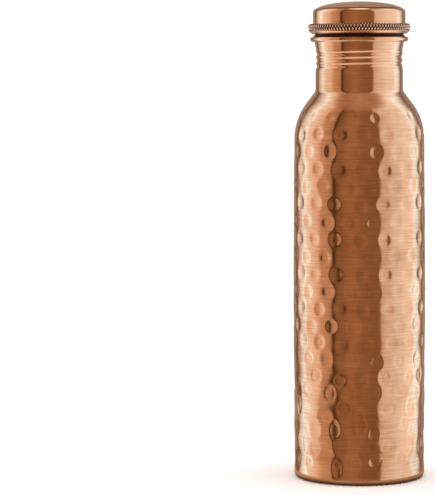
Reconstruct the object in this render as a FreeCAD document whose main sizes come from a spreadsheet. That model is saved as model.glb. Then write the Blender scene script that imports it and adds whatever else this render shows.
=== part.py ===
import FreeCAD, Part
import math
import os
import Sketcher

# Hammered copper water bottle with a screw lid: millimetres, +Z up, origin at the centre of the foot.
# Every piece is turned about the Z axis, so each is a PartDesign body: one outline in its XZ plane,
# revolved, and a helix where a thread is rolled into it.

NODE_FOLDER = "parts"
SHEET = "dims"

DIMENSIONS = {
    # sheet metal
    "wall": 0.6,
    "lid_wall": 0.8,
    "running_gap": 0.3,
    # hammered body
    "body_foot_radius": 38.0,
    "body_top_radius": 37.7,
    "body_side_bend": 8600,
    "foot_corner": 3.0,
    "foot_rim_radius": 31.0,
    "shoulder_start": 197.2,
    "shoulder_bend": 35.0,
    "shoulder_angle": 37.0,
    # pressed bottom
    "base_dome_radius": 30.5,
    "base_dome_rise": 2.5,
    # neck and its rolled thread
    "neck_radius": 25.3,
    "neck_bottom": 223.1,
    "neck_flare_start": 249.7,
    "neck_flare_end": 252.9,
    "lip_radius": 25.9,
    "lip_top": 257.6,
    "thread_pitch": 3.4,
    "thread_start": 237.9,
    "thread_turns": 3.0,
    "thread_roll": 0.9,
    # bead round the mouth
    "bead_radius": 26.9,
    "bead_height": 255.2,
    "bead_roll": 1.5,
    "bead_shoulder_angle": 60.0,
    "collar_radius": 26.1,
    # seal
    "seal_height": 0.7,
    "seal_inner_radius": 23.9,
    "seal_outer_radius": 25.7,
    # lid
    "lid_top": 277.0,
    "cap_radius": 26.7,
    "cap_corner": 2.6,
    "cap_bend": 30.0,
    "cap_corner_angle": 27.0,
    "cap_crown_angle": 8.5,
    "grip_radius": 29.65,
    "grip_foot_radius": 27.1,
    "grip_swell": 4.2,
    "grip_corner": 1.6,
    "grip_top": 264.2,
    # threaded plug under the lid
    "plug_bottom": 237.3,
    "plug_bore": 22.5,
    "plug_waist": 23.3,
    "plug_shoulder": 251.0,
    "plug_end_height": 237.9,
    "plug_thread_turns": 4.2,
}

doc = FreeCAD.newDocument("copper_water_bottle")
sheet = doc.addObject("Spreadsheet::Sheet", SHEET)
for row, (alias, value) in enumerate(DIMENSIONS.items(), start=1):
    sheet.set(f"A{row}", alias.replace("_", " "))
    sheet.set(f"B{row}", str(value))
    sheet.setAlias(f"B{row}", alias)
doc.recompute()


def formula(text):
    """A formula of sheet aliases, with each alias written as the sheet's own cell."""
    words = sorted(DIMENSIONS, key=len, reverse=True)
    for number, word in enumerate(words):
        text = text.replace(word, f"<{number}>")
    for number, word in enumerate(words):
        text = text.replace(f"<{number}>", f"{SHEET}.{word}")
    return text


def value_of(text):
    return float(sheet.evalExpression(formula(text)))


def new_body(name):
    body = doc.addObject("PartDesign::Body", name)
    body.Label = name
    body.Placement = FreeCAD.Placement()
    return body


def xz_sketch(body, name):
    plane = next(item for item in body.Origin.OriginFeatures if item.Role == "XZ_Plane")
    sketch = body.newObject("Sketcher::SketchObject", name)
    sketch.AttachmentSupport = [(plane, "")]
    sketch.MapMode = "FlatFace"
    return sketch


def bind(sketch, kind, places, text):
    """Adds one dimension to a sketch and binds it to its formula."""
    index = sketch.addConstraint(Sketcher.Constraint(kind, *places, value_of(text)))
    sketch.setExpression(f"Constraints[{index}]", formula(text))


def arc_centre(start, end, radius):
    """Centre of the arc from start to end: on the left of the way for a positive radius."""
    chord = end - start
    half = chord.Length / 2
    offset = math.copysign(math.sqrt(radius**2 - half**2), radius)
    left = FreeCAD.Vector(-chord.y, chord.x, 0).normalize()
    return (start + end) / 2 + left * offset


def outline(body, name, corners):
    """A closed sketch. Each corner is (across, up), or (across, up, radius) where the edge to the
    next corner is an arc, centred on the left of the way unless the radius starts with a minus."""
    sketch = xz_sketch(body, name)
    points = [FreeCAD.Vector(value_of(corner[0]), value_of(corner[1]), 0) for corner in corners]
    ends = []
    for index, corner in enumerate(corners):
        start = points[index]
        end = points[(index + 1) % len(points)]
        if len(corner) == 2:
            edge = sketch.addGeometry(Part.LineSegment(start, end))
            ends.append((edge, 1, 2))
            continue
        radius = value_of(corner[2])
        centre = arc_centre(start, end, radius)
        circle = Part.Circle(centre, FreeCAD.Vector(0, 0, 1), abs(radius))
        first, last = (start, end) if radius > 0 else (end, start)
        angles = [math.atan2(point.y - centre.y, point.x - centre.x) for point in (first, last)]
        edge = sketch.addGeometry(Part.ArcOfCircle(circle, *angles))
        ends.append((edge, 1, 2) if radius > 0 else (edge, 2, 1))
    for index, (edge, begin, finish) in enumerate(ends):
        following, following_begin, _ = ends[(index + 1) % len(ends)]
        joint = Sketcher.Constraint("Coincident", edge, finish, following, following_begin)
        sketch.addConstraint(joint)
    for (edge, begin, _), corner in zip(ends, corners):
        if corner[0] == "0":
            sketch.addConstraint(Sketcher.Constraint("PointOnObject", edge, begin, -2))
        else:
            bind(sketch, "DistanceX", (-1, 1, edge, begin), corner[0])
        bind(sketch, "DistanceY", (-1, 1, edge, begin), corner[1])
        if len(corner) == 3:
            bind(sketch, "Radius", (edge,), corner[2].lstrip("-"))
    return sketch


def revolve(body, sketch):
    turned = body.newObject("PartDesign::Revolution", f"{body.Name}_turned")
    turned.Profile = (sketch, [""])
    turned.ReferenceAxis = (sketch, ["V_Axis"])
    turned.Angle = 360
    doc.recompute()
    return turned


def turned_piece(name, corners):
    """A piece that is one outline revolved about the Z axis."""
    body = new_body(name)
    revolve(body, outline(body, f"{name}_outline", corners))
    return body


def helix(body, kind, sketch, name, turns):
    """A right-handed thread, as an added rib or a cut groove, at the sheet's pitch."""
    thread = body.newObject(f"PartDesign::{kind}Helix", name)
    thread.Profile = (sketch, [""])
    thread.ReferenceAxis = (sketch, ["V_Axis"])
    thread.Mode = "pitch-turns-angle"
    thread.setExpression("Pitch", formula("thread_pitch"))
    thread.setExpression("Turns", formula(turns))
    thread.LeftHanded = False
    thread.Reversed = False
    doc.recompute()
    return thread


def thread_roll_sketch(body, name, height, radius):
    """The round section that a thread's groove is rolled to, centred on the neck's surface."""
    sketch = xz_sketch(body, name)
    centre = FreeCAD.Vector(value_of("neck_radius"), value_of(height), 0)
    circle = Part.Circle(centre, FreeCAD.Vector(0, 0, 1), value_of(radius))
    edge = sketch.addGeometry(circle)
    bind(sketch, "DistanceX", (-1, 1, edge, 3), "neck_radius")
    bind(sketch, "DistanceY", (-1, 1, edge, 3), height)
    bind(sketch, "Radius", (edge,), radius)
    return sketch


def body_shell():
    """Foot rim, rolled foot corner, slightly bellied wall, rounded shoulder and its cone."""
    bend_in = "(1 - cos(shoulder_angle))"
    cone_start = f"(body_top_radius - shoulder_bend * {bend_in})"
    cone_height = "(shoulder_start + shoulder_bend * sin(shoulder_angle))"
    crease = f"({cone_height} + ({cone_start} - neck_radius) / tan(shoulder_angle))"
    foot_flat = "body_foot_radius - foot_corner"
    return turned_piece("body_shell", [
        ("foot_rim_radius", "0"),
        (foot_flat, "0", "foot_corner"),
        ("body_foot_radius", "foot_corner", "body_side_bend"),
        ("body_top_radius", "shoulder_start", "shoulder_bend"),
        (cone_start, cone_height),
        ("neck_radius", crease),
        ("neck_radius", f"{crease} - wall / sin(shoulder_angle)"),
        (f"{cone_start} - wall * cos(shoulder_angle)", f"{cone_height} - wall * sin(shoulder_angle)",
         "-(shoulder_bend - wall)"),
        ("body_top_radius - wall", "shoulder_start", "-(body_side_bend - wall)"),
        ("body_foot_radius - wall", "foot_corner", "-(foot_corner - wall)"),
        (foot_flat, "wall"),
        ("foot_rim_radius", "wall"),
    ])


def base_disc():
    """Pressed bottom: a flat flange brazed on the foot rim round a dome that rises inside."""
    dome = "((base_dome_radius ^ 2 + base_dome_rise ^ 2) / (2 * base_dome_rise))"
    edge = "body_foot_radius - foot_corner"
    return turned_piece("base_disc", [
        ("0", "wall + base_dome_rise", f"-{dome}"),
        ("base_dome_radius", "wall"),
        (edge, "wall"),
        (edge, "2 * wall"),
        ("base_dome_radius", "2 * wall", dome),
        ("0", "2 * wall + base_dome_rise"),
    ])


def neck_tube():
    """Neck brazed into the shoulder, with a rolled thread: a rib inside and its groove outside."""
    flare_out = "(lip_radius - neck_radius)"
    flare_up = "(neck_flare_end - neck_flare_start)"
    flare = f"(({flare_out} ^ 2 + {flare_up} ^ 2) / (2 * {flare_out}))"
    bore = "neck_radius - wall"
    body = new_body("neck_tube")
    tube = outline(body, "neck_tube_outline", [
        (bore, "neck_bottom"),
        ("neck_radius", "neck_bottom"),
        ("neck_radius", "neck_flare_start", f"-{flare}"),
        ("lip_radius", "neck_flare_end"),
        ("lip_radius", "lip_top"),
        (bore, "lip_top"),
    ])
    revolve(body, tube)
    half_chord = "sqrt((thread_roll + wall) ^ 2 - (wall / 2) ^ 2)"
    rib = outline(body, "rib_section", [
        ("neck_radius - wall / 2", f"thread_start - {half_chord}"),
        ("neck_radius - wall / 2", f"thread_start + {half_chord}", "thread_roll + wall"),
    ])
    helix(body, "Additive", rib, "thread_rib", "thread_turns")
    groove = thread_roll_sketch(body, "groove_section", "thread_start", "thread_roll")
    helix(body, "Subtractive", groove, "thread_groove", "thread_turns")
    return body


def mouth_ring():
    """Solid bead round the mouth, with a collar that slopes in from it to the lip."""
    lower = "bead_height - sqrt(bead_roll ^ 2 - (bead_radius - lip_radius) ^ 2)"
    slope_start = ("bead_radius + bead_roll * cos(bead_shoulder_angle)",
                   "bead_height + bead_roll * sin(bead_shoulder_angle)")
    return turned_piece("mouth_ring", [
        ("lip_radius", lower, "bead_roll"),
        ("bead_radius + bead_roll", "bead_height", "bead_roll"),
        slope_start,
        ("collar_radius", "lip_top"),
        ("lip_radius", "lip_top"),
    ])


def seal_ring():
    """Flat washer between the lip and the lid's underside."""
    return turned_piece("seal_ring", [
        ("seal_inner_radius", "lip_top"),
        ("seal_outer_radius", "lip_top"),
        ("seal_outer_radius", "lip_top + seal_height"),
        ("seal_inner_radius", "lip_top + seal_height"),
    ])


def lid_cap():
    """Domed cap: a straight skirt, a tight corner, a rounded edge and a nearly flat crown."""
    corner_in = "(1 - sin(cap_corner_angle))"
    edge_x = f"(cap_radius - cap_corner * {corner_in})"
    crown_x = f"({edge_x} - cap_bend * (sin(cap_corner_angle) - sin(cap_crown_angle)))"
    crown = f"({crown_x} / sin(cap_crown_angle))"
    crown_z = f"(lid_top - {crown} * (1 - cos(cap_crown_angle)))"
    edge_z = f"({crown_z} - cap_bend * (cos(cap_crown_angle) - cos(cap_corner_angle)))"
    skirt_z = f"({edge_z} - cap_corner * cos(cap_corner_angle))"
    skirt_foot = "lip_top + seal_height + lid_wall"
    return turned_piece("lid_cap", [
        ("cap_radius - lid_wall", skirt_foot),
        ("cap_radius", skirt_foot),
        ("cap_radius", skirt_z, "cap_corner"),
        (edge_x, edge_z, "cap_bend"),
        (crown_x, crown_z, crown),
        ("0", "lid_top"),
        ("0", "lid_top - lid_wall", f"-({crown} - lid_wall)"),
        (f"{crown_x} - lid_wall * sin(cap_crown_angle)", f"{crown_z} - lid_wall * cos(cap_crown_angle)",
         "-(cap_bend - lid_wall)"),
        (f"{edge_x} - lid_wall * sin(cap_corner_angle)", f"{edge_z} - lid_wall * cos(cap_corner_angle)",
         "-(cap_corner - lid_wall)"),
        ("cap_radius - lid_wall", skirt_z),
    ])


def grip_ring():
    """Knurled ring round the cap's skirt: swelling up from its foot, with a rounded top edge."""
    foot = "lip_top + seal_height"
    swell_out = "(grip_radius - grip_foot_radius)"
    swell_up = f"sqrt(grip_swell ^ 2 - (grip_swell - {swell_out}) ^ 2)"
    return turned_piece("grip_ring", [
        ("cap_radius", foot),
        ("grip_foot_radius", foot, "grip_swell"),
        ("grip_radius", f"{foot} + {swell_up}"),
        ("grip_radius", "grip_top - grip_corner", "grip_corner"),
        ("grip_radius - grip_corner", "grip_top"),
        ("cap_radius", "grip_top"),
    ])


def lid_plate():
    """Flat underside of the lid, which presses on the seal."""
    return turned_piece("lid_plate", [
        ("plug_bore", "lip_top + seal_height"),
        ("cap_radius", "lip_top + seal_height"),
        ("cap_radius", "lip_top + seal_height + lid_wall"),
        ("plug_bore", "lip_top + seal_height + lid_wall"),
    ])


def plug_sleeve():
    """Screw sleeve under the lid: its groove clears the neck's rib, and a waist carries the seal."""
    crest = "(neck_radius - wall - running_gap)"
    body = new_body("plug_sleeve")
    sleeve = outline(body, "plug_sleeve_outline", [
        ("plug_bore", "plug_bottom"),
        (crest, "plug_bottom"),
        (crest, "plug_shoulder"),
        ("plug_waist", f"plug_shoulder + {crest} - plug_waist"),
        ("plug_waist", "lip_top + seal_height"),
        ("plug_bore", "lip_top + seal_height"),
    ])
    revolve(body, sleeve)
    section = thread_roll_sketch(body, "plug_groove_section", "thread_start - thread_pitch",
                                 "thread_roll + wall + running_gap")
    helix(body, "Subtractive", section, "plug_groove", "plug_thread_turns")
    return body


def plug_end():
    """Disc that closes the screw sleeve."""
    return turned_piece("plug_end", [
        ("0", "plug_end_height"),
        ("plug_bore", "plug_end_height"),
        ("plug_bore", "plug_end_height + lid_wall"),
        ("0", "plug_end_height + lid_wall"),
    ])


def check_document():
    doc.recompute()
    for item in doc.Objects:
        failed = {"Invalid", "Error"} & set(item.State)
        if failed:
            raise RuntimeError(f"{item.Label} is {sorted(failed)}")


def write_pieces(bodies):
    os.makedirs(NODE_FOLDER, exist_ok=True)
    for body in bodies:
        shape = body.Shape
        if shape.isNull() or not shape.isValid() or len(shape.Solids) != 1:
            raise RuntimeError(f"{body.Label} is not one valid solid")
        shape.exportStep(f"{NODE_FOLDER}/{body.Label}.step")
        box = shape.BoundBox
        print(f"{body.Label}: {shape.Volume:.0f} mm3, z {box.ZMin:.2f} to {box.ZMax:.2f}, "
              f"across {box.XLength:.2f}")


pieces = [
    body_shell(),
    base_disc(),
    neck_tube(),
    mouth_ring(),
    seal_ring(),
    lid_cap(),
    grip_ring(),
    lid_plate(),
    plug_sleeve(),
    plug_end(),
]
check_document()
write_pieces(pieces)
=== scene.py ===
import math
import random

import bpy
import numpy as np
from mathutils import Matrix, Vector


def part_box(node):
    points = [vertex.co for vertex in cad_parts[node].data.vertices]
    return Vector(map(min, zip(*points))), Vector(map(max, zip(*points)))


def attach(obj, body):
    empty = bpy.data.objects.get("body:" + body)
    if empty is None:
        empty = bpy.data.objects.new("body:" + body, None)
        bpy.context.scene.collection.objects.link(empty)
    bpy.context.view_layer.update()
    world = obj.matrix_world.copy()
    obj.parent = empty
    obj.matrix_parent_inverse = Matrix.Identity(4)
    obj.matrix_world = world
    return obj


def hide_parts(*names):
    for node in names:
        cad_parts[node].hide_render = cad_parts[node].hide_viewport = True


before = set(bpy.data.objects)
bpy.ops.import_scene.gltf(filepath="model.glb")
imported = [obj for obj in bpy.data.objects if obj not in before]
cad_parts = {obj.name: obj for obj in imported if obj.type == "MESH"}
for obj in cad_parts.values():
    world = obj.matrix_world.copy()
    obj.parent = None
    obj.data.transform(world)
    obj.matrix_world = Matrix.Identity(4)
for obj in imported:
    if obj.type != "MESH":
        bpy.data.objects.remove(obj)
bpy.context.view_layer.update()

MM = 0.001

# Sizes in millimetres, measured from the axis and from the foot. Sheet thicknesses, and the gap
# between the screw's two sides:
SHEET = 0.6
LID_SHEET = 0.8
RUNNING_GAP = 0.3

# Body and base
FOOT_RIM = 31.0
FOOT_RADIUS = 38.0
FOOT_CORNER = 3.0
WALL_TOP_RADIUS = 37.7
WALL_BELLY = 0.54
SHOULDER_START = 197.2
SHOULDER_BEND = 35.0
SHOULDER_ANGLE = math.radians(37)
DOME_RADIUS = 30.5
BASE_RINGS = (10, 22)
BASE_RING_DEPTH = 0.12

# Heights of one mesh row on the hammered wall and on the rolled thread
WALL_ROW = 0.9
THREAD_ROW = 0.2

# Neck, its rolled thread, and the mouth
NECK_RADIUS = 25.3
FLARE_START = 249.3
FLARE_END = 253.2
LIP_RADIUS = 25.9
COLLAR_RADIUS = 26.1
BEAD_CENTRE = (26.9, 255.2)
BEAD_SHOULDER = 60.0
BEAD_ROLL = 1.5
THREAD_PITCH = 3.4
THREAD_START = 237.9
THREAD_TURNS = 3.0
THREAD_DEPTH = 0.88
THREAD_FADE = 0.12
WAIST_DEPTH = 0.32
NECK_FILLET = 4.0
SEAL_BORE = 23.9

# Lid: cap, grip and plug
CAP_CORNER = 2.6
CAP_CORNER_STEPS = 8
CAP_BEND = 30.0
CAP_EDGE_ANGLE = math.radians(27)
CAP_CROWN_ANGLE = math.radians(8.5)
GRIP_FOOT_RADIUS = 27.1
GRIP_SWELL = 4.2
GRIP_CORNER = 1.6
# The real knurl has about 150 grooves each way; fewer are cut here so that its diamonds show
KNURL_COUNT = 100
KNURL_DEPTH = 0.55
KNURL_LENGTH = 1.7
PLUG_BORE = 22.5
PLUG_WAIST = 23.3
PLUG_SHOULDER = 251.0
PLUG_GROOVE = 1.8
PLUG_CREST = NECK_RADIUS - SHEET - RUNNING_GAP

# Hammer marks: heights of the first and last row, and where the marks begin to be uneven
MARK_TOP = 211.0
MARK_FOOT = 12.0
MARK_ROW = 9.8
UNEVEN_BELOW = 90
LUMP_DEPTH = 0.24
MARKS_ROUND = 17
MARKS_MISSED = 0.05
MARK_SEED = 11


def low(name):
    """The lowest corner of a CAD node's box, in millimetres."""
    return [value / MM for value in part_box(name)[0]]


def high(name):
    """The highest corner of a CAD node's box, in millimetres."""
    return [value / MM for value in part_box(name)[1]]


LIP_TOP = high("neck_tube")[2]
PLATE_FOOT = low("lid_plate")[2]
CAP_RADIUS = high("lid_cap")[0]
CAP_TOP = high("lid_cap")[2]
GRIP_RADIUS = high("grip_ring")[0]
GRIP_TOP = high("grip_ring")[2]
CREASE = high("body_shell")[2]


# ---- shaping -------------------------------------------------------------------------------------

def arc(centre, radius, start, end, steps):
    """Points of an arc from one angle to another, in degrees from straight out."""
    angles = [math.radians(start + (end - start) * step / steps) for step in range(steps + 1)]
    return [(centre[0] + radius * math.cos(a), centre[1] + radius * math.sin(a)) for a in angles]


def rounded(corners):
    """An outline from corners (across, up, rounding), each rounding turned into a short arc."""
    points = []
    for index, (across, up, rounding) in enumerate(corners):
        corner = Vector((across, up))
        if not rounding:
            points.append((across, up))
            continue
        before = (Vector(corners[index - 1][:2]) - corner).normalized()
        after = (Vector(corners[(index + 1) % len(corners)][:2]) - corner).normalized()
        turn = math.pi - before.angle(after)
        centre = corner + (before + after).normalized() * rounding / math.cos(turn / 2)
        spoke = corner + before * rounding * math.tan(turn / 2) - centre
        side = math.copysign(1, before.cross(after)) * -1
        steps = max(2, round(math.degrees(turn) / 15))
        for step in range(steps + 1):
            swing = Matrix.Rotation(side * turn * step / steps, 2)
            points.append(tuple(centre + swing @ spoke))
    return points


def between(start, end, step):
    """Heights from start to end, evenly spaced by about one step."""
    count = max(1, round(abs(end - start) / step))
    return [start + (end - start) * index / count for index in range(count + 1)]


def turned(name, outline, segments):
    """A ring is added at the outline's first point, then extruded and scaled along the rest of it.
    An outline that starts and ends on the axis closes in poles, and any other closes on itself."""
    poles = outline[0][0] == 0
    path = outline[1:-1] if poles else outline + outline[:1]
    radius, height = path[0]
    bpy.ops.object.select_all(action="DESELECT")
    bpy.ops.mesh.primitive_circle_add(vertices=segments, radius=radius * MM)
    piece = bpy.context.object
    piece.name = name
    piece.data.name = name
    bpy.ops.object.mode_set(mode="EDIT")
    bpy.ops.mesh.select_all(action="SELECT")
    bpy.ops.transform.translate(value=(0, 0, height * MM))
    for next_radius, next_height in path[1:]:
        rise = (0, 0, (next_height - height) * MM)
        bpy.ops.mesh.extrude_region_move(TRANSFORM_OT_translate={"value": rise})
        growth = next_radius / radius
        centre = (0, 0, next_height * MM)
        bpy.ops.transform.resize(value=(growth, growth, 1), center_override=centre)
        radius, height = next_radius, next_height
    if poles:
        close_pole(outline[-1][1] - height)
        select_ring(piece, segments)
        close_pole(outline[0][1] - path[0][1])
    bpy.ops.mesh.select_all(action="SELECT")
    bpy.ops.mesh.remove_doubles(threshold=0.002 * MM)
    bpy.ops.mesh.normals_make_consistent(inside=False)
    bpy.ops.object.mode_set(mode="OBJECT")
    return piece


def close_pole(rise):
    """Closes the selected ring in one point on the axis."""
    bpy.ops.mesh.extrude_region_move(TRANSFORM_OT_translate={"value": (0, 0, rise * MM)})
    bpy.ops.mesh.merge(type="CENTER")


def select_ring(piece, segments):
    """Selects the ring that the piece was started from."""
    bpy.ops.mesh.select_all(action="DESELECT")
    bpy.ops.object.mode_set(mode="OBJECT")
    for vertex in piece.data.vertices[:segments]:
        vertex.select = True
    for edge in piece.data.edges:
        edge.select = all(index < segments for index in edge.vertices)
    bpy.ops.object.mode_set(mode="EDIT")


def press(piece, depth):
    """Moves each vertex towards the axis by depth(angle, radius, height), in millimetres, and
    returns the depths."""
    places = np.empty(len(piece.data.vertices) * 3)
    piece.data.vertices.foreach_get("co", places)
    places = places.reshape(-1, 3)
    across = np.hypot(places[:, 0], places[:, 1])
    angle = np.arctan2(places[:, 1], places[:, 0]) % (2 * math.pi)
    depths = depth(angle, across / MM, places[:, 2] / MM)
    pressed = across - depths * MM
    shrink = np.where(across > MM, pressed / np.maximum(across, MM), 1.0)
    places[:, :2] *= shrink[:, None]
    piece.data.vertices.foreach_set("co", places.ravel())
    piece.data.update()
    return depths


def heights_of(piece):
    """The height of each vertex, in millimetres."""
    return np.array([vertex.co.z / MM for vertex in piece.data.vertices])


def store_painted_shade(piece, shares):
    """Stores how much painted shade each vertex gets, from 0 to 1, in the groove attribute."""
    groove = piece.data.attributes.new("groove", "FLOAT", "POINT")
    groove.data.foreach_set("value", shares)


def finish_piece(piece, node, body, material, crease_angle=35):
    """Smooth shading, its material, and its place in the frame."""
    bpy.ops.object.select_all(action="DESELECT")
    piece.select_set(True)
    bpy.context.view_layer.objects.active = piece
    bpy.ops.object.shade_smooth_by_angle(angle=math.radians(crease_angle))
    piece.data.materials.clear()
    piece.data.materials.append(material)
    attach(piece, body)
    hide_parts(node)


def smoothstep(value):
    """An eased ramp: 0 up to 0, and 1 from 1 on."""
    value = np.clip(value, 0, 1)
    return value * value * (3 - 2 * value)


# ---- hammered body -------------------------------------------------------------------------------

def wall_radius(height):
    """Outside of the sheet before hammering: a bellied wall, a round shoulder and its cone."""
    if height <= SHOULDER_START:
        along = (height - FOOT_CORNER) / (SHOULDER_START - FOOT_CORNER)
        straight = FOOT_RADIUS + (WALL_TOP_RADIUS - FOOT_RADIUS) * along
        return straight + WALL_BELLY * 4 * along * (1 - along)
    rise = height - SHOULDER_START
    cone_rise = SHOULDER_BEND * math.sin(SHOULDER_ANGLE)
    bent = min(rise, cone_rise)
    radius = WALL_TOP_RADIUS - SHOULDER_BEND + math.sqrt(SHOULDER_BEND ** 2 - bent ** 2)
    return radius - max(0, rise - cone_rise) * math.tan(SHOULDER_ANGLE)


def hammer_marks():
    """Rows of marks: near the shoulder even and round, towards the foot uneven, longer and
    overlapping."""
    chance = random.Random(MARK_SEED)
    marks = []
    spacing = 2 * math.pi / MARKS_ROUND
    phase = 0.0
    for row, height in enumerate(between(MARK_TOP, MARK_FOOT, MARK_ROW)):
        wild = smoothstep((UNEVEN_BELOW - height) / 60)
        stray = 0.08 + 0.3 * wild
        size = 0.65 if row == 0 else 1.0
        phase += spacing * (0.5 + chance.uniform(-0.12, 0.12))
        for place in range(MARKS_ROUND):
            if chance.random() < MARKS_MISSED:
                continue
            marks.append({
                "angle": phase + spacing * (place + chance.uniform(-stray, stray)),
                "height": height + MARK_ROW * chance.uniform(-stray, stray),
                "half_width":
                    chance.uniform(3.8, 4.5) * size * (1 + chance.uniform(-0.2, 0.3) * wild),
                "half_height":
                    chance.uniform(4.1, 4.8) * size * (1 + chance.uniform(-0.1, 0.7) * wild),
                "depth": chance.uniform(0.45, 0.63) * size * (1 - 0.15 * wild),
            })
    return marks


def hammered(angle, radius, height):
    """Depth of the hammer marks and of the unevenness between them, on the outside only: a slow
    swell all over, and lumps near the foot."""
    outside = np.vectorize(wall_radius)(np.clip(height, FOOT_CORNER, CREASE))
    on_outside = (radius > outside - SHEET / 2) & (height > 2)
    depth = np.zeros_like(angle)
    for mark in hammer_marks():
        turn = (angle - mark["angle"] + math.pi) % (2 * math.pi) - math.pi
        across = turn * outside / mark["half_width"]
        up = (height - mark["height"]) / mark["half_height"]
        inside = np.clip(1 - across ** 2 - up ** 2, 0, None)
        depth = np.maximum(depth, mark["depth"] * inside ** 1.1)
    swell = np.sin(3 * angle + height / 21) * np.sin(height / 13 + 2 * angle) + 1
    fade = smoothstep((height - 4) / 10) * smoothstep((212 - height) / 12)
    lumps = np.sin(11 * angle + height / 6) * np.sin(height / 4.2 - 3 * angle) + 1
    wild = smoothstep((95 - height) / 45)
    unevenness = (0.05 + 0.08 * wild) * swell + LUMP_DEPTH * wild * lumps
    return np.where(on_outside, depth + unevenness * fade, 0)


def make_body_shell(material):
    """The wall in fine rows outside, where it is hammered, and in coarse rows inside."""
    outer = [(wall_radius(height), height) for height in between(FOOT_CORNER, CREASE, WALL_ROW)]
    inner = [
        (wall_radius(height) - SHEET, height) for height in between(FOOT_CORNER, SHOULDER_START, 12)
    ]
    slope = SHEET * math.sin(SHOULDER_ANGLE)
    inner += [
        (wall_radius(height + slope) - SHEET * math.cos(SHOULDER_ANGLE), height)
        for height in between(SHOULDER_START + 3, 218, 3)
    ]
    foot_centre = (FOOT_RADIUS - FOOT_CORNER, FOOT_CORNER)
    foot = arc(foot_centre, FOOT_CORNER, -90, -10, 8)
    inner_foot = arc(foot_centre, FOOT_CORNER - SHEET, -10, -90, 5)
    outline = [(FOOT_RIM, 0.1), (FOOT_RIM + 0.1, 0)] + foot + outer
    outline += [(NECK_RADIUS, CREASE - SHEET / math.sin(SHOULDER_ANGLE))]
    outline += inner[::-1] + inner_foot + [(FOOT_RIM, SHEET)]
    piece = turned("hammered_body", outline, 320)
    press(piece, hammered)
    finish_piece(piece, "body_shell", "bottle", material)


def make_base_disc(material):
    """Spun bottom with two shallow stiffening rings, seen only from below."""
    foot = low("base_disc")[2]
    rise = high("base_disc")[2] - foot - SHEET
    bend = (DOME_RADIUS ** 2 + rise ** 2) / (2 * rise)
    edge = high("base_disc")[0]
    radii = between(0, DOME_RADIUS, 1.0)

    def dome(radius):
        ring = BASE_RING_DEPTH * sum(math.exp(-((radius - place) / 0.8) ** 2) for place in BASE_RINGS)
        return rise - bend + math.sqrt(bend ** 2 - radius ** 2) - ring

    under = [(radius, foot + max(0, dome(radius))) for radius in radii]
    over = [(radius, height + SHEET) for radius, height in under]
    outline = under + [(edge, foot), (edge, foot + SHEET)] + over[::-1]
    piece = turned("spun_base", outline, 144)
    finish_piece(piece, "base_disc", "bottle", material)


# ---- neck and mouth ------------------------------------------------------------------------------

def helix_place(angle, height):
    """Height above the nearest turn of the thread, and how many turns along the thread it is."""
    turns = (height - THREAD_START) / THREAD_PITCH - angle / (2 * math.pi)
    nearest = np.round(turns)
    return (turns - nearest) * THREAD_PITCH, nearest + angle / (2 * math.pi)


def rolled_thread(angle, radius, height):
    """The rolled grooves of the thread, and outside a slight waist from the thread to the flare."""
    above, along = helix_place(angle, height)
    fade = smoothstep(along / THREAD_FADE) * smoothstep((THREAD_TURNS - along) / THREAD_FADE)
    wave = fade * np.cos(math.pi * above / THREAD_PITCH) ** 2
    waist = WAIST_DEPTH * smoothstep((height - THREAD_START) / THREAD_PITCH + 0.5)
    outside = radius > NECK_RADIUS - SHEET / 2
    depth = np.where(outside, waist + (THREAD_DEPTH - waist) * wave, THREAD_DEPTH * wave)
    return np.where(height > FLARE_START + 0.01, 0, depth)


def make_neck(material):
    """The neck with a fillet at the shoulder, fine rows over the thread, and a flared lip."""
    thread_low = THREAD_START - THREAD_PITCH
    bore = NECK_RADIUS - SHEET
    foot = low("neck_tube")[2]
    fillet_top = CREASE + NECK_FILLET * math.tan(SHOULDER_ANGLE / 2)
    fillet_end = 180 + math.degrees(SHOULDER_ANGLE)
    outline = [(bore, foot), (NECK_RADIUS, foot)]
    outline += arc((NECK_RADIUS + NECK_FILLET, fillet_top), NECK_FILLET, fillet_end, 180, 6)
    outline += [(NECK_RADIUS, height) for height in between(thread_low, FLARE_START, THREAD_ROW)]
    outline += [(LIP_RADIUS - 0.1, FLARE_END), (LIP_RADIUS, FLARE_END + 0.5)]
    outline += [(LIP_RADIUS, LIP_TOP), (bore + 0.3, LIP_TOP), (bore, LIP_TOP - 0.3)]
    outline += [(bore, height) for height in between(FLARE_START, thread_low, THREAD_ROW)]
    piece = turned("threaded_neck", outline, 256)
    press(piece, rolled_thread)
    finish_piece(piece, "neck_tube", "bottle", material)


def make_mouth_ring(material):
    """A solid bead and the short collar above it, with painted shade on the collar under the lid."""
    lower = -math.degrees(math.acos((LIP_RADIUS - BEAD_CENTRE[0]) / BEAD_ROLL))
    outline = arc(BEAD_CENTRE, BEAD_ROLL, lower, BEAD_SHOULDER, 14)
    outline += [(COLLAR_RADIUS + 0.35, LIP_TOP - 0.6), (COLLAR_RADIUS, LIP_TOP), (LIP_RADIUS, LIP_TOP)]
    piece = turned("mouth_bead", outline, 192)
    # Painted shade: the collar above the bead is darkened where the lid's foot overhangs it.
    store_painted_shade(piece, smoothstep((heights_of(piece) - BEAD_CENTRE[1] - 1.1) / 0.5))
    finish_piece(piece, "mouth_ring", "bottle", material)


def make_seal(material):
    outer = high("seal_ring")[0]
    foot, top = low("seal_ring")[2], high("seal_ring")[2]
    outline = rounded([
        (SEAL_BORE, foot, 0.2), (outer, foot, 0.25), (outer, top, 0.25), (SEAL_BORE, top, 0.2),
    ])
    piece = turned("silicone_seal", outline, 144)
    finish_piece(piece, "seal_ring", "seal", material)


# ---- lid -----------------------------------------------------------------------------------------

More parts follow.
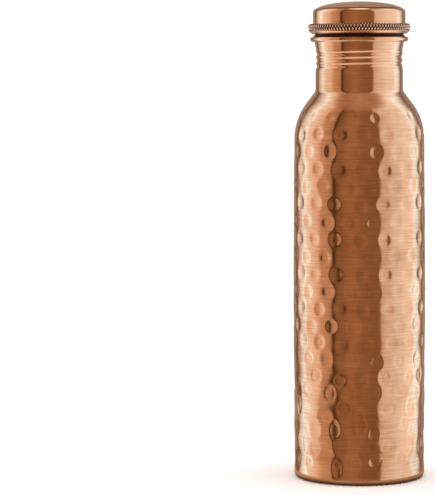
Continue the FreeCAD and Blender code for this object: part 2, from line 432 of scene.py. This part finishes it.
def cap_skin(inset):
    """One skin of the cap from the skirt to the crown, inset from the outside by a distance."""
    edge_out = CAP_RADIUS - CAP_CORNER * (1 - math.sin(CAP_EDGE_ANGLE))
    crown_out = edge_out - CAP_BEND * (math.sin(CAP_EDGE_ANGLE) - math.sin(CAP_CROWN_ANGLE))
    crown = crown_out / math.sin(CAP_CROWN_ANGLE)
    crown_centre = (0, CAP_TOP - crown)
    crown_up = crown_centre[1] + crown * math.cos(CAP_CROWN_ANGLE)
    bend_centre = (crown_out - CAP_BEND * math.sin(CAP_CROWN_ANGLE),
                   crown_up - CAP_BEND * math.cos(CAP_CROWN_ANGLE))
    edge_up = bend_centre[1] + CAP_BEND * math.cos(CAP_EDGE_ANGLE)
    corner_centre = (CAP_RADIUS - CAP_CORNER, edge_up - CAP_CORNER * math.cos(CAP_EDGE_ANGLE))
    edge = 90 - math.degrees(CAP_EDGE_ANGLE)
    crown_edge = 90 - math.degrees(CAP_CROWN_ANGLE)
    skin = arc(corner_centre, CAP_CORNER - inset, 0, edge, CAP_CORNER_STEPS)
    skin += arc(bend_centre, CAP_BEND - inset, edge, crown_edge, 24)[1:]
    skin += arc(crown_centre, crown - inset, crown_edge, 90, 8)[1:-1]
    return skin + [(0, CAP_TOP - inset)]


def make_cap(material):
    """A domed cap with a straight skirt, and a thin painted dark reflection along the dome's edge."""
    foot = low("lid_cap")[2]
    outer = cap_skin(0)
    inner = cap_skin(LID_SHEET)
    skirt = [(CAP_RADIUS - LID_SHEET, foot), (CAP_RADIUS, foot)]
    outline = inner[::-1] + skirt + outer
    piece = turned("domed_cap", outline, 192)
    above_edge = heights_of(piece) - outer[CAP_CORNER_STEPS][1]
    # Painted reflection: a thin dark line along the edge of the dome, where a dark gap would mirror.
    store_painted_shade(piece, 0.9 * smoothstep(above_edge / 0.1 + 1) * smoothstep(1.5 - above_edge / 0.5))
    finish_piece(piece, "lid_cap", "lid", material)


def knurled(angle, radius, height):
    """Tall diamonds between two families of crossed grooves, on the upper part of the outside."""
    pitch = 2 * math.pi * GRIP_RADIUS / KNURL_COUNT
    turn = angle * KNURL_COUNT / (2 * math.pi)
    ridges = []
    for lean in (-1, 1):
        phase = turn + lean * height / (pitch * KNURL_LENGTH)
        ridges.append(1 - np.abs(2 * (phase - np.floor(phase)) - 1))
    pyramid = np.minimum(*ridges)
    low_edge = smoothstep((height - (PLATE_FOOT + 1.5)) / 0.4)
    inner_edge = smoothstep((radius - (CAP_RADIUS + 0.9)) / 0.5)
    return KNURL_DEPTH * (1 - pyramid) * low_edge * inner_edge


def make_grip(material):
    """A ring that swells out from the lid's foot, with six mesh columns to each knurl groove."""
    rise = GRIP_SWELL - (GRIP_RADIUS - GRIP_FOOT_RADIUS)
    start = -math.degrees(math.acos(rise / GRIP_SWELL))
    swell_up = GRIP_SWELL * math.sin(-math.radians(start))
    row = 2 * math.pi * GRIP_RADIUS / KNURL_COUNT / 6
    outline = [(CAP_RADIUS, PLATE_FOOT)]
    outline += arc((GRIP_RADIUS - GRIP_SWELL, PLATE_FOOT + swell_up), GRIP_SWELL, start, 0, 14)
    corner = (GRIP_RADIUS - GRIP_CORNER, GRIP_TOP - GRIP_CORNER)
    outline += [(GRIP_RADIUS, height) for height in between(PLATE_FOOT + swell_up, corner[1], row)][1:]
    outline += arc(corner, GRIP_CORNER, 0, 90, 9)[1:]
    outline += [(CAP_RADIUS + 0.2, GRIP_TOP), (CAP_RADIUS, GRIP_TOP - 0.2)]
    piece = turned("knurled_grip", outline, KNURL_COUNT * 6)
    # Painted shade: each knurl groove is darkened by how deep it is cut.
    store_painted_shade(piece, press(piece, knurled) / KNURL_DEPTH)
    finish_piece(piece, "grip_ring", "lid", material, 60)


def make_lid_plate(material):
    """The flat ring under the lid that presses on the seal."""
    top = high("lid_plate")[2]
    outline = rounded([
        (PLUG_BORE, PLATE_FOOT, 0), (CAP_RADIUS, PLATE_FOOT, 0.1),
        (CAP_RADIUS, top, 0), (PLUG_BORE, top, 0),
    ])
    piece = turned("lid_underside", outline, 144)
    finish_piece(piece, "lid_plate", "lid", material)


def plug_thread(angle, radius, height):
    """The groove that the neck's rolled thread runs in, on the outside of the sleeve."""
    above, along = helix_place(angle, height)
    groove = NECK_RADIUS - np.sqrt(np.clip(PLUG_GROOVE ** 2 - above ** 2, 0, None))
    cut = np.where(along < THREAD_TURNS + 0.2, np.clip(PLUG_CREST - groove, 0, None), 0)
    return np.where((radius > PLUG_CREST - 0.05) & (height < PLUG_SHOULDER), cut, 0)


def make_plug_sleeve(material):
    """The screw sleeve under the lid, narrower above its thread."""
    foot = low("plug_sleeve")[2]
    outline = [(PLUG_BORE, foot)]
    outline += [(PLUG_CREST, height) for height in between(foot, PLUG_SHOULDER, 0.25)]
    outline += [(PLUG_WAIST, PLUG_SHOULDER + PLUG_CREST - PLUG_WAIST), (PLUG_WAIST, PLATE_FOOT)]
    outline += [(PLUG_BORE, PLATE_FOOT)]
    piece = turned("plug_thread", outline, 192)
    press(piece, plug_thread)
    finish_piece(piece, "plug_sleeve", "lid", material)


def make_plug_end(material):
    """The disc that closes the sleeve, with a shallow pressed step."""
    foot, top = low("plug_end")[2], high("plug_end")[2]
    outline = [(0, foot + 0.3), (18, foot + 0.3), (19, foot), (PLUG_BORE, foot)]
    outline += [(PLUG_BORE, top), (0, top)]
    piece = turned("plug_disc", outline, 144)
    finish_piece(piece, "plug_end", "lid", material)


# ---- materials -----------------------------------------------------------------------------------

def linear(colour):
    """An sRGB hex colour as linear RGBA."""
    channels = [int(colour[place:place + 2], 16) / 255 for place in (1, 3, 5)]
    straight = [c / 12.92 if c <= 0.04045 else ((c + 0.055) / 1.055) ** 2.4 for c in channels]
    return (*straight, 1.0)


def add(tree, kind, inputs=None, **settings):
    """Adds a node with its settings; each input is a number, a colour or another node's output."""
    node = tree.nodes.new(kind)
    for name, value in settings.items():
        setattr(node, name, value)
    for name, value in (inputs or {}).items():
        if isinstance(value, bpy.types.NodeSocket):
            tree.links.new(value, node.inputs[name])
        else:
            node.inputs[name].default_value = value
    return node


def new_material(name):
    material = bpy.data.materials.new(name)
    material.use_nodes = True
    material.node_tree.nodes.clear()
    return material, material.node_tree


def brushed_copper(name, light, deep, roughness, line_mm, line_depth_mm):
    """Copper brushed round the axis: fine level lines that spread each highlight up and down, a
    faint warm tone in patches, and painted shade in dark brown where the groove attribute marks it.
    Real brushed lines are about 0.1 mm apart, and they are drawn coarser here so that they show."""
    material, tree = new_material(name)
    place = add(tree, "ShaderNodeTexCoord").outputs["Object"]
    across = 1 / (14 * MM)
    lines = add(tree, "ShaderNodeMapping", {
        "Vector": place, "Scale": (across, across, 1 / (line_mm * MM))})
    brushing = add(tree, "ShaderNodeTexNoise", {
        "Vector": lines.outputs[0], "Scale": 1.0, "Detail": 3.0, "Roughness": 0.7})
    patches = add(tree, "ShaderNodeTexNoise", {
        "Vector": place, "Scale": 1 / (24 * MM), "Detail": 3.0, "Roughness": 0.55})
    line_shade = add(tree, "ShaderNodeMapRange", {
        "Value": brushing.outputs["Fac"], "From Min": 0.3, "From Max": 0.7})
    patch_shade = add(tree, "ShaderNodeMapRange", {
        "Value": patches.outputs["Fac"], "From Min": 0.35, "From Max": 0.75, "To Max": 0.35})
    tone = add(tree, "ShaderNodeMath", {
        0: line_shade.outputs[0], 1: 0.45, 2: patch_shade.outputs[0]}, operation="MULTIPLY_ADD")
    copper = add(tree, "ShaderNodeMix", {
        0: tone.outputs[0], 6: linear(light), 7: linear(deep)}, data_type="RGBA").outputs[2]
    groove = add(tree, "ShaderNodeAttribute", attribute_name="groove").outputs["Fac"]
    # Painted shade: where the groove attribute is high, the copper turns dark brown (#3A211A)
    painted_shade = add(tree, "ShaderNodeMapRange", {
        "Value": groove, "From Min": 0.5, "From Max": 0.75})
    colour = add(tree, "ShaderNodeMix", {
        0: painted_shade.outputs[0], 6: copper, 7: linear("#3A211A")}, data_type="RGBA").outputs[2]
    gloss = add(tree, "ShaderNodeMapRange", {
        "Value": line_shade.outputs[0], "To Min": roughness - 0.04, "To Max": roughness + 0.05})
    relief = add(tree, "ShaderNodeBump", {
        "Height": brushing.outputs["Fac"], "Strength": 1.0, "Distance": line_depth_mm * MM})
    shader = add(tree, "ShaderNodeBsdfPrincipled", {
        "Base Color": colour, "Metallic": 1.0, "Roughness": gloss.outputs[0],
        "Normal": relief.outputs[0]})
    add(tree, "ShaderNodeOutputMaterial", {"Surface": shader.outputs[0]})
    return material


def silicone_rubber():
    """Dark moulded silicone: soft broad sheen and a fine grain, about 0.4 mm across."""
    material, tree = new_material("moulded_silicone")
    place = add(tree, "ShaderNodeTexCoord").outputs["Object"]
    grain = add(tree, "ShaderNodeTexNoise", {"Vector": place, "Scale": 1 / (0.4 * MM), "Detail": 2.0})
    relief = add(tree, "ShaderNodeBump", {
        "Height": grain.outputs["Fac"], "Strength": 0.3, "Distance": 0.02 * MM})
    colour = add(tree, "ShaderNodeMix", {
        0: grain.outputs["Fac"], 6: linear("#1A1614"), 7: linear("#2A2320")},
        data_type="RGBA").outputs[2]
    shader = add(tree, "ShaderNodeBsdfPrincipled", {
        "Base Color": colour, "Roughness": 0.55, "Normal": relief.outputs[0]})
    add(tree, "ShaderNodeOutputMaterial", {"Surface": shader.outputs[0]})
    return material


# ---- studio --------------------------------------------------------------------------------------

# The camera in metres and angles, and its lens in millimetres
CAMERA_DISTANCE = 1.449
CAMERA_HEIGHT = 0.253
CAMERA_PAN = math.radians(3.268)
CAMERA_TILT = math.radians(4.679)
CAMERA_ROLL = math.radians(-0.27)
CAMERA_LENS = 181.1

# Cloth colours of the tent: daylight white, plain white, warm white, and the copper's own glow
DAYLIGHT = "#DAF0FF"
WHITE = "#FFF9F5"
WARM = "#FFE2D0"
AMBER = "#FFCDA8"
GLOW = "#FFBD88"

# The tent round the bottle: azimuth from the camera's side, positive to the right, then brightness
# and cloth. Two bright strips stand at the sides, and a dim gap is left ahead for the camera.
TENT = [
    # Behind on the left, and the gap at the back edge of the left wall
    (-170, 0.45, WARM),
    (-150, 0.4, WARM),
    (-141, 0.15, GLOW),
    # Left strip and left wall
    (-126, 0.8, WHITE),
    (-110, 1.6, DAYLIGHT),
    (-102, 1.0, WHITE),
    (-80, 0.9, WARM),
    (-70, 0.65, AMBER),
    (-50, 0.5, AMBER),
    # Black front edge of the left wall
    (-47.5, 0.07, GLOW),
    (-43.5, 0.07, GLOW),
    # Gap ahead, brightest a little to the left
    (-41, 0.25, GLOW),
    (-15, 0.38, GLOW),
    (-3, 0.37, GLOW),
    (1, 0.32, GLOW),
    (36, 0.25, GLOW),
    # Right wall and right strip
    (39.5, 0.75, WARM),
    (70, 0.9, WHITE),
    (104, 1.1, WHITE),
    (113, 1.6, DAYLIGHT),
    (121, 1.4, DAYLIGHT),
    # The gap at the back edge of the right wall, and behind on the right
    (130, 0.7, WHITE),
    (140, 0.2, WARM),
    (152, 0.4, WARM),
]

# Glows over and under the walls: height of the direction where each starts, where it is full
LAYERS = [
    # Pale floor, and the dark close under the bottle
    (-0.48, -0.75, (1.0, 0.86, 0.76, 1)),
    (-0.9, -0.96, (0.06, 0.035, 0.025, 1)),
    # Dim ceiling, and the lamp straight overhead
    (0.78, 0.92, (0.46, 0.26, 0.16, 1)),
    (0.968, 0.978, (1.6, 1.6, 1.6, 1)),
]


def make_camera():
    camera = bpy.data.objects.new("camera", bpy.data.cameras.new("camera"))
    bpy.context.scene.collection.objects.link(camera)
    camera.data.lens = CAMERA_LENS
    camera.data.sensor_width = 36
    turn = Matrix.Rotation(CAMERA_PAN, 4, "Z") @ Matrix.Rotation(math.pi / 2 - CAMERA_TILT, 4, "X")
    turn = turn @ Matrix.Rotation(CAMERA_ROLL, 4, "Z")
    camera.matrix_world = Matrix.Translation((0, -CAMERA_DISTANCE, CAMERA_HEIGHT)) @ turn
    bpy.context.scene.camera = camera


def make_tent():
    """Soft light from all round: white walls at both sides, dim ahead, behind and above."""
    world = bpy.data.worlds.new("light_tent")
    bpy.context.scene.world = world
    world.use_nodes = True
    tree = world.node_tree
    tree.nodes.clear()
    direction = add(tree, "ShaderNodeTexCoord").outputs["Generated"]
    parts = add(tree, "ShaderNodeSeparateXYZ", {0: direction})
    ahead = add(tree, "ShaderNodeMath", {0: parts.outputs["Y"], 1: -1.0}, operation="MULTIPLY")
    azimuth = add(tree, "ShaderNodeMath", {
        0: parts.outputs["X"], 1: ahead.outputs[0]}, operation="ARCTAN2")
    share = add(tree, "ShaderNodeMapRange", {
        "Value": azimuth.outputs[0], "From Min": -math.pi, "From Max": math.pi})
    walls = add(tree, "ShaderNodeValToRGB", {"Fac": share.outputs[0]})
    stops = walls.color_ramp.elements
    while len(stops) < len(TENT):
        stops.new(0.5)
    for stop, (angle, brightness, colour) in zip(stops, TENT):
        stop.position = (angle + 180) / 360
        stop.color = [channel * brightness for channel in linear(colour)[:3]] + [1]
    layer = walls.outputs[0]
    for start, end, glow in LAYERS:
        share = add(tree, "ShaderNodeMapRange", {
            "Value": parts.outputs["Z"], "From Min": start, "From Max": end},
            interpolation_type="SMOOTHSTEP")
        layer = add(tree, "ShaderNodeMix", {
            0: share.outputs[0], 6: layer, 7: glow}, data_type="RGBA").outputs[2]
    light = add(tree, "ShaderNodeBackground", {"Color": layer, "Strength": 1.0})
    add(tree, "ShaderNodeOutputWorld", {"Surface": light.outputs[0]})


def make_floor():
    """A plain white floor, which the copper doesn't mirror, because the tent glows from below too."""
    bpy.ops.object.select_all(action="DESELECT")
    bpy.ops.mesh.primitive_circle_add(vertices=96, radius=6, fill_type="NGON")
    floor = bpy.context.object
    floor.name = "floor"
    material, tree = new_material("white_floor")
    shader = add(tree, "ShaderNodeBsdfPrincipled", {
        "Base Color": linear("#F6F6F8"), "Roughness": 0.3, "Specular IOR Level": 0.3})
    add(tree, "ShaderNodeOutputMaterial", {"Surface": shader.outputs[0]})
    floor.data.materials.append(material)
    floor.visible_glossy = False
    floor.visible_shadow = False
    return floor


def make_sweep():
    """A white sweep behind everything, which only the camera sees."""
    bpy.ops.mesh.primitive_uv_sphere_add(radius=6, segments=48, ring_count=24)
    sweep = bpy.context.object
    sweep.name = "white_sweep"
    material, tree = new_material("white_sweep")
    glow = add(tree, "ShaderNodeEmission", {"Color": (1, 1, 1, 1), "Strength": 1.05})
    add(tree, "ShaderNodeOutputMaterial", {"Surface": glow.outputs[0]})
    sweep.data.materials.append(material)
    sweep.visible_glossy = False
    sweep.visible_diffuse = False
    sweep.visible_shadow = False
    sweep.visible_transmission = False
    return sweep


def make_foot_shade():
    """The shade on the floor close to the bottle, which only its rounded foot mirrors."""
    bpy.ops.mesh.primitive_circle_add(
        vertices=96, radius=52 * MM, location=(0, 0, 0.1 * MM), fill_type="NGON")
    foot_shade = bpy.context.object
    foot_shade.name = "foot_shade"
    material, tree = new_material("shaded_floor")
    place = add(tree, "ShaderNodeTexCoord").outputs["Object"]
    away = add(tree, "ShaderNodeVectorMath", {0: place}, operation="LENGTH").outputs["Value"]
    share = add(tree, "ShaderNodeMapRange", {
        "Value": away, "From Min": 36.5 * MM, "From Max": 43 * MM})
    shade = add(tree, "ShaderNodeMix", {
        0: share.outputs[0], 6: (0.03, 0.02, 0.015, 1), 7: (0.5, 0.34, 0.24, 1)}, data_type="RGBA")
    glow = add(tree, "ShaderNodeEmission", {"Color": shade.outputs[2], "Strength": 1.0})
    add(tree, "ShaderNodeOutputMaterial", {"Surface": glow.outputs[0]})
    foot_shade.data.materials.append(material)
    foot_shade.visible_camera = False
    foot_shade.visible_diffuse = False
    foot_shade.visible_shadow = False
    return foot_shade


def make_skylight():
    """Soft light from straight overhead that whitens the floor evenly; the copper doesn't mirror it."""
    lamp = bpy.data.objects.new("skylight", bpy.data.lights.new("skylight", "SUN"))
    bpy.context.scene.collection.objects.link(lamp)
    lamp.data.angle = math.radians(120)
    lamp.data.energy = 3.4
    lamp.visible_glossy = False


make_camera()
make_tent()
floor = make_floor()
sweep = make_sweep()
foot_shade = make_foot_shade()
make_skylight()

body_copper = brushed_copper("hammered_copper_sheet", "#FFD6B4", "#BE865E", 0.11, 0.75, 0.02)
turned_copper = brushed_copper("brushed_turned_copper", "#FFD6B4", "#BE865E", 0.11, 0.7, 0.02)
grip_copper = brushed_copper("knurled_copper", "#FFDCC0", "#D09C78", 0.16, 0.8, 0.01)
seal_rubber = silicone_rubber()

make_body_shell(body_copper)
make_base_disc(turned_copper)
make_neck(turned_copper)
make_mouth_ring(turned_copper)
make_seal(seal_rubber)
make_cap(turned_copper)
make_grip(grip_copper)
make_lid_plate(turned_copper)
make_plug_sleeve(turned_copper)
make_plug_end(turned_copper)

bpy.context.scene.view_settings.view_transform = "Standard"
